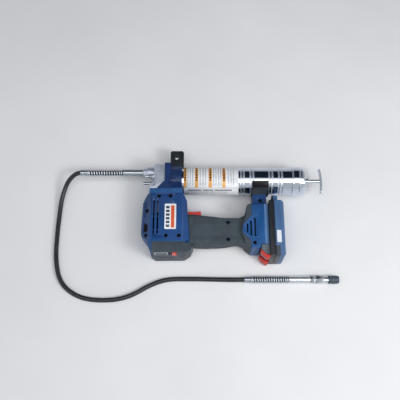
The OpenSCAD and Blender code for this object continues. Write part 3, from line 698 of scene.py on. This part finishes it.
def corner(a, b, c, reach, steps):
    """Points of the curve that rounds the corner b between a and c."""
    p, q = b + (a - b).normalized() * reach, b + (c - b).normalized() * reach
    parts = [k / steps for k in range(steps + 1)]
    return [p * (1 - t) ** 2 + b * 2 * t * (1 - t) + q * t ** 2 for t in parts]


def tube_faces(rings, sides):
    """The quads between rings + 1 rings of vertices."""
    faces = []
    for i in range(rings):
        for k in range(sides):
            n = (k + 1) % sides
            faces.append((i * sides + k, i * sides + n, (i + 1) * sides + n, (i + 1) * sides + k))
    return faces


def tube_ends(rings, sides):
    """The flat faces that close the first and the last ring."""
    return [tuple(range(sides)), tuple(rings * sides + k for k in range(sides))]


def soften(points, radius, steps=4):
    """Rounds the corners of an open profile of (along, out) points."""
    out = [points[0]]
    for a, b, c in zip(points, points[1:], points[2:]):
        a, b, c = Vector(a), Vector(b), Vector(c)
        reach = min(radius, (a - b).length * 0.45, (c - b).length * 0.45)
        if reach < 0.01:
            out.append(tuple(b))
            continue
        out += [tuple(point) for point in corner(a, b, c, reach, steps)]
    out.append(points[-1])
    return out


def support(profile, gap=0.25):
    """Adds points close to the ends of long runs, so that the shading stays flat between them."""
    out = [profile[0]]
    for a, b in zip(profile, profile[1:]):
        run = Vector(b) - Vector(a)
        if run.length > 3 * gap:
            step = run.normalized() * gap
            out += [tuple(Vector(a) + step), tuple(Vector(b) - step)]
        out.append(b)
    return out


def lathe(name, profile, centre, radius=0.5, sides=96):
    """Turns a profile of (x, r) in millimetres about the X axis through centre, in the design frame."""
    profile = support(soften(profile, radius))
    verts = []
    for x, r in profile:
        for k in range(sides):
            a = 2 * math.pi * k / sides
            verts.append(place(x, centre[0] + r * math.cos(a), centre[1] + r * math.sin(a)))
    rings = len(profile) - 1
    faces = tube_faces(rings, sides)
    if profile[0] != profile[-1]:
        faces += tube_ends(rings, sides)
    obj = mesh_object(name, verts, faces)
    bm = bmesh.new()
    bm.from_mesh(obj.data)
    bmesh.ops.remove_doubles(bm, verts=bm.verts, dist=1e-7)
    bmesh.ops.recalc_face_normals(bm, faces=bm.faces)
    bm.to_mesh(obj.data)
    bm.free()
    shade_smooth(obj.data, 40)
    return obj


def sweep(name, points, radius, sides=10):
    """A closed tube of that radius along points, in metres."""
    verts = []
    up = Vector((0, 0, 1))
    for i, p in enumerate(points):
        ahead = (points[min(i + 1, len(points) - 1)] - points[max(i - 1, 0)]).normalized()
        side = ahead.cross(up)
        side = side.normalized() if side.length > 0.05 else ahead.cross(Vector((0, 1, 0))).normalized()
        top = side.cross(ahead)
        up = top
        for k in range(sides):
            a = 2 * math.pi * k / sides
            verts.append(p + radius * (math.cos(a) * side + math.sin(a) * top))
    rings = len(points) - 1
    return mesh_object(name, verts, tube_faces(rings, sides) + tube_ends(rings, sides), 50)


def coil(name, x0, x1, centre, radius, wire, turns, steps=28):
    """A wire wound from x0 to x1 about an X axis. The last turn at each end lies closed."""
    points = []
    count = int(turns * steps)
    for i in range(count + 1):
        t = i / count
        closed = 1.0 / turns
        if t < closed:
            along = t * 0.35
        elif t > 1 - closed:
            along = 1 - (1 - t) * 0.35
        else:
            along = closed * 0.35 + (t - closed) * (1 - 0.7 * closed) / (1 - 2 * closed)
        a = 2 * math.pi * turns * t
        x = x0 + wire + (x1 - x0 - 2 * wire) * along
        points.append(place(x, centre[0] + radius * math.cos(a), centre[1] + radius * math.sin(a)))
    return sweep(name, points, wire * MM, 9)


# ---------------------------------------------------------------- hose
# Hose diameter in millimetres, and the middle of the hose where it lies on the floor.
# The route is in millimetres of the row frame, from the first ferrule to the tip's.
HOSE_D = 9.5
FLOOR = 4.8
ROUTE = [(-232.5, 72.8, 36), (-258, 72.8, 36), (-283, 72.8, 36), (-308.5, 72.8, 36), (-323, 72.8, 36),
         (-332, 71, 34.5), (-341, 66, 30.5), (-350, 57.5, 24.5), (-357.5, 43.5, 17.5), (-363, 25.5, 12),
         (-366, 6, 8), (-367.5, -16, 5.6), (-368.5, -41, FLOOR), (-368.5, -66, FLOOR),
         (-368, -90, FLOOR), (-366, -111, FLOOR), (-362.5, -129, FLOOR), (-357.5, -145, FLOOR),
         (-350, -158.5, FLOOR), (-340, -169.5, FLOOR), (-327, -179, FLOOR), (-311.5, -186.5, FLOOR),
         (-294, -191, FLOOR), (-274.5, -193, FLOOR), (-255, -193, FLOOR), (-235.5, -191, FLOOR),
         (-216, -186, FLOOR), (-197, -177.5, FLOOR), (-179.5, -167.5, FLOOR), (-161.5, -159, FLOOR),
         (-143.5, -153, FLOOR), (-125, -150.3, FLOOR), (-98, -149.8, FLOOR), (-70, -150, FLOOR),
         (-40, -150.7, 5), (-14, -151.6, 6.8), (8, -152, 8.3), (20, -152, 8.5),
         (60, -152, 8.5), (111, -152, 8.5)]


def design(point):
    """A row-frame point in the design frame, in millimetres."""
    return Vector(point) - MOUTH


def make_hose():
    """The whip hose, as a curve through its route."""
    data = bpy.data.curves.new("whip_hose", "CURVE")
    data.dimensions = "3D"
    data.bevel_depth = HOSE_D / 2 * MM
    data.bevel_resolution = 6
    data.resolution_u = 8
    data.use_fill_caps = True
    spline = data.splines.new("BEZIER")
    spline.bezier_points.add(len(ROUTE) - 1)
    for knot, point in zip(spline.bezier_points, ROUTE):
        knot.co = row(*point)
        knot.handle_left_type = knot.handle_right_type = "AUTO"
    obj = bpy.data.objects.new("whip_hose", data)
    bpy.context.scene.collection.objects.link(obj)
    return finish_piece(obj, "hose")


def make_hose_ends():
    """Ferrules, spring guards, collars and fittings, from the pump head to the coupler."""
    first, last = design(ROUTE[0]), design(ROUTE[-1])
    start, end = (first.y, first.z), (last.y, last.z)
    first_guard, tip_guard, wound, wire = 76, 77, 6.3, 1.45
    x = -84.7
    ferrule = [(x, 0), (x, 6.4), (x - 3, 6.4), (x - 3, 7), (x - 16, 7), (x - 16, 6.6), (x - 18, 6.6),
               (x - 18, 7), (first.x + 1, 7), (first.x, 6.4), (first.x, 4.8)]
    pieces = [finish_piece(lathe("ferrule_first", ferrule, start, 0.5), "hose_ferrule")]
    x = first.x - first_guard
    guard = coil("guard_first", x, first.x, start, wound, wire, 15)
    pieces.append(finish_piece(guard, "hose_guard"))
    collar = [(x, 4.8), (x, 6.4), (x - 4, 6.4), (x - 5, 5.9), (x - 9, 5.9), (x - 10, 6.4),
              (x - 14.5, 6.1), (x - 14.5, 4.8)]
    pieces.append(finish_piece(lathe("collar_first", collar, start, 0.6), "hose_collar"))
    x = last.x - tip_guard
    collar = [(x - 13, 4.8), (x - 13, 5.6), (x - 10, 6), (x, 6), (x, 4.8)]
    pieces.append(finish_piece(lathe("collar_tip", collar, end, 0.6), "tip_collar"))
    guard = coil("guard_tip", x, last.x, end, wound, wire, 17)
    pieces.append(finish_piece(guard, "tip_guard"))
    x = last.x
    ferrule = [(x, 4.8), (x, 6.5), (x + 2, 7), (x + 13, 7), (x + 14, 6.5), (x + 16, 6.5), (x + 17, 7),
               (x + 41, 7), (x + 44, 6.2), (x + 44, 0)]
    pieces.append(finish_piece(lathe("ferrule_tip", ferrule, end, 0.6), "tip_ferrule"))
    pieces.append(bevelled("tip_fitting", 0.5))
    x = last.x + 80
    body = [(x, 0), (x, 6.8), (x + 1.5, 8.4), (x + 5, 8.4), (x + 5.6, 7.7), (x + 7, 7.7), (x + 7.6, 8.4),
            (x + 18, 8.4), (x + 22, 7.2), (x + 22, 5.3), (x + 3, 5.3), (x + 3, 0)]
    pieces.append(finish_piece(lathe("coupler_shell", body, end, 0.6), "coupler_body"))
    pieces.append(bevelled("coupler_jaws", 0.3))
    return pieces


# ---------------------------------------------------------------- barrel
def make_t_handle():
    """A slightly bowed bar of oval section with rounded ends."""
    half_width, tip, thick, deep, bow = 28.5, 3.5, 2.5, 6, 150
    sides, steps = 24, 60
    verts = []
    for i in range(steps + 1):
        y = -half_width * math.cos(math.pi * i / steps)
        end = max(0.0, abs(y) - (half_width - tip)) / tip
        scale = math.sqrt(max(0.0, 1 - end * end)) + 0.02
        x = 290.5 - bow + math.sqrt(bow ** 2 - y * y)
        for k in range(sides):
            a = 2 * math.pi * k / sides
            verts.append(place(x + thick * scale * math.cos(a), y, deep * scale * math.sin(a)))
    faces = tube_faces(steps, sides) + tube_ends(steps, sides)
    finish_piece(mesh_object("handle_bar", verts, faces, 60), "t_handle")


def make_barrel():
    """Tube, cap, label, follower and T-handle. Returns the follower's spring."""
    axis = (0, 0)
    r, inner, mouth, tail = BARREL_R, BARREL_R - 1.6, -14, 228
    profile = [(mouth, inner), (mouth, r)]
    for x in GROOVES:
        profile += [(x, r), (x + 0.5, r - 0.55), (x + 1.5, r - 0.85), (x + 2.5, r - 0.55), (x + 3, r)]
    profile += [(tail, r), (tail, inner), (mouth, inner)]
    finish_piece(lathe("barrel_shell", profile, axis, 0.7, 160), "barrel_tube")
    cap = [(226, r + 0.05), (226, 30.2), (226.6, 30.9), (228.4, 30.9), (229.2, 30.1), (240.6, 30.1),
           (241.3, 30.8), (243, 30.8), (243.8, 29.5), (247, 29.5), (247.6, 28.7), (249.6, 28.7),
           (250.6, 27.2), (252.4, 26.9), (254.6, 22.5), (255.9, 17.5), (256.7, 12), (256.7, 6.6),
           (263.2, 6.6), (263.7, 5.8), (263.7, 4.27), (248, 4.27), (248, inner), (tail, inner),
           (tail, r + 0.05), (226, r + 0.05)]
    finish_piece(lathe("barrel_end_cap", cap, axis, 0.8, 160), "barrel_cap")
    rod = [(26, 0), (26, 3.6), (27, 4.2), (287.5, 4.2), (288, 3.6), (288, 0)]
    finish_piece(lathe("follower_bar", rod, axis, 0.4, 64), "follower_rod")
    bevelled("barrel_label", 0.05, 1)
    make_t_handle()
    bevelled("follower_plate", 0.4)
    bevelled("follower_seal", 0.6)
    spring = coil("follower_coil", 35, 246, axis, 21.5, 1.3, 24, 36)
    finish_piece(spring, "follower_spring")
    return spring


# ---------------------------------------------------------------- body details
def add_detail(obj, node, look=None):
    """A small extra piece that rides with a node and hides nothing."""
    return finish_piece(obj, node, look, stands_in=False)


def collar_ribs():
    """Faint raised bands round the collar at the barrel mouth."""
    steps, collar_r = 60, 33
    section = ((-0.9, -0.4), (-0.5, 0.28), (0.5, 0.28), (0.9, -0.4))
    for i, x in enumerate((-22.5, -18, -13.5, -9, -4.8)):
        verts = []
        for k in range(steps + 1):
            a = math.radians(-28 + 118 * k / steps)
            for dx, dr in section:
                verts.append(place(x + dx, (collar_r + dr) * math.sin(a), (collar_r + dr) * math.cos(a)))
        faces = tube_faces(steps, len(section)) + tube_ends(steps, len(section))
        add_detail(mesh_object(f"collar_band_{i + 1}", verts, faces), "housing_near")


def ridge(name, outline, height_at, width, height, node, look=None):
    """A half-round bead along a closed outline, on a surface whose Z is height_at(y)."""
    points = [Vector(p) for p in outline]
    count = len(points)
    sunk = 0.2
    arc = [(math.cos(math.pi * k / 6), math.sin(math.pi * k / 6)) for k in range(7)]
    verts, faces = [], []
    for i, p in enumerate(points):
        along = (points[(i + 1) % count] - points[i - 1]).normalized()
        side = Vector((-along.y, along.x))
        for u, v in arc:
            q = p + side * u * width / 2
            verts.append(place(q.x, q.y, height_at(q.y) - sunk + v * (height + sunk)))
    n = len(arc)
    for i in range(count):
        j = (i + 1) % count
        for k in range(n - 1):
            faces.append((i * n + k, i * n + k + 1, j * n + k + 1, j * n + k))
    return add_detail(mesh_object(name, verts, faces, 50), node, look)


def split_outline(points, step=3.0):
    """The outline with its long sides cut into shorter ones, so that a bead can follow a curve."""
    out = []
    for i, p in enumerate(points):
        q = points[(i + 1) % len(points)]
        count = max(1, int((q - p).length / step))
        out += [p + (q - p) * k / count for k in range(count)]
    return out


def grip_height(y):
    """Z of the grip pads' upper surface: flat in the middle, with a round corner on each side."""
    middle, flat, corner_z, corner_r = -112, 23.4, 5.6, 15.1
    beyond = max(0.0, abs(y - middle) - flat)
    return corner_z + math.sqrt(max(0.0, corner_r ** 2 - beyond ** 2))


def slab(name, outline, low, high, round_by):
    """A plate with that outline, from low to high in Z, with rounded edges."""
    count = len(outline)
    verts = [place(x, y, z) for z in (low, high) for x, y in outline]
    faces = [tuple(range(count)), tuple(range(count, 2 * count))]
    for i in range(count):
        j = (i + 1) % count
        faces.append((i, j, count + j, count + i))
    obj = mesh_object(name, verts, faces, 180)
    modifier = obj.modifiers.new("round", "BEVEL")
    modifier.width = round_by * MM
    modifier.segments = 3
    modifier.limit_method = "ANGLE"
    modifier.angle_limit = math.radians(30)
    modifier.harden_normals = True
    return apply_modifiers(obj)


def rounded_outline(corners, radius, steps=5):
    """Corner points joined by straight runs and round corners."""
    out = []
    count = len(corners)
    for i in range(count):
        a, b, c = (Vector(corners[(i + d) % count]) for d in (-1, 0, 1))
        out += corner(a, b, c, radius, steps)
    return out


# Nodes that keep their CAD shape, with the width and the steps of their rounded edges
HOUSING_EDGES = [
    ("housing_screws", 0.25, 2), ("badge_plate", 0.2, 2), ("pump_head", 0.9, 3), ("end_cap", 0.8, 4),
    ("display_bezel", 0.5, 3), ("display_window", 0.2, 2), ("display_button", 1.0, 4),
    ("led_lens", 0.4, 2), ("circuit_board", 0.15, 1), ("barrel_cradle", 1.2, 4), ("strap_lug", 1.4, 4),
]
BATTERY_EDGES = [("battery_case", 1.6, 4), ("battery_cover", 2.4, 5), ("battery_cells", 0.6, 3)]
HEAD_PARTS = ["head_plug", "outlet_adapter", "vent_valve_body", "vent_valve_stem", "filler_nipple"]
INSIDE_PARTS = [
    "motor_can", "motor_rotor", "motor_bearings", "gearbox_case", "crank_bearing", "crank",
    "crank_roller", "planet_gear_1", "planet_gear_2", "planet_gear_3", "plunger_yoke",
    "trigger_switch", "terminal_block", "check_ball",
]


def make_body():
    """Housing, grip, pump head, drive and battery with their small details."""
    for side in ("near", "far"):
        shell(f"housing_{side}")
        melted(f"grip_{side}", 0.7, 5)
        bevelled(f"latch_{side}", 1.2, 4)
    make_grip_details()
    for node, width, segments in HOUSING_EDGES:
        bevelled(node, width, segments)
    melted("trigger", 0.5, 8)
    for node, width, segments in BATTERY_EDGES:
        bevelled(node, width, segments)
    for node in HEAD_PARTS:
        bevelled(node, 0.5, 3)
    for node in INSIDE_PARTS:
        bevelled(node, 0.12, 1)
    make_battery_details()
    check = coil("check_coil", 0, 11.8, (0, 0), 3, 0.5, 6, 24)
    turn_to_y(check, (-52, 10.2, 0))
    finish_piece(check, "check_spring")


def make_grip_details():
    """Bands on the collar, the rim round the foot's vents, and the rims of the grip pads."""
    collar_ribs()
    foot_top = 30
    frame_line = rounded_outline([(122.2, -107), (142.5, -83.4), (151.5, -85), (152.6, -131.6),
                                  (131, -131.6), (122.2, -121.5)], 2.4)
    ridge("vent_frame", frame_line, lambda y: foot_top, 3.0, 1.1, "housing_near")
    left, right = 22.2, 111.8
    for i, (low, high) in enumerate(((-101.5, -89.2), (-142.4, -129.6))):
        middle = (low + high) / 2
        corners = [(left, low), (left, high), (right, high), (right, middle), (right, low)]
        rim = split_outline(rounded_outline(corners, 3))
        ridge(f"pad_rim_{i + 1}", rim, grip_height, 1.3, 0.5, "grip_near")


def make_battery_details():
    """The grey block round the latches with its ribs, and the blank tag on the cover."""
    half_block = 27.4
    block = slab("latch_housing", [(157.4, -145.3), (157.4, -157.9), (168, -167.1), (174.2, -167.1),
                                   (174.2, -145.3)], -half_block, half_block, 1.4)
    add_detail(block, "battery_case", "grey_plastic")
    for i in range(3):
        shift = 2.6 * (i + 1)
        line = [(157.6 + shift, -157.2 + shift * 0.8), (167.8 + shift * 0.6, -166.2 + shift)]
        ridge(f"latch_rib_{i + 1}", line, lambda y: half_block, 1.2, 0.6, "battery_case", "grey_plastic")
    tag = rounded_outline([(187.8, -144.3), (187.8, -119.2), (196.6, -119.2), (196.6, -144.3)], 0.8)
    plate = slab("battery_tag", tag, 35.9, 36.15, 0.05)
    add_detail(plate, "battery_cover", "badge")
    plate.data.materials[0] = SPECIAL["battery_tag"]


def turn_to_y(obj, at):
    """Turns a piece wound along X from the design zero to run along +Y from a point."""
    zero, to = place(0, 0, 0), place(*at)
    for vertex in obj.data.vertices:
        d = vertex.co - zero
        vertex.co = to + Vector((-d.y, d.x, d.z))
    obj.data.update()


def make_floor():
    """A pale floor, a little below the gun and wide enough to reach the horizon."""
    half = 30.0
    verts = [(-half, -half, 0), (half, -half, 0), (half, half, 0), (-half, half, 0)]
    obj = mesh_object("floor", verts, [(0, 1, 2, 3)])
    s = Shader("pale_floor", IOR=1.4)
    s.colour(s.ramp(s.noise(3, 3), [(0.3, (0.74, 0.75, 0.77)), (0.7, (0.80, 0.81, 0.82))]))
    s.rough(s.span(s.noise(20, 3), 0.55, 0.7))
    obj.data.materials.append(s.material)
    obj.location.z = -0.0003


make_camera()
hose = make_hose()
hose_pieces = make_hose_ends()
make_studio()
make_floor()
spring = make_barrel()
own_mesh(spring)
make_body()
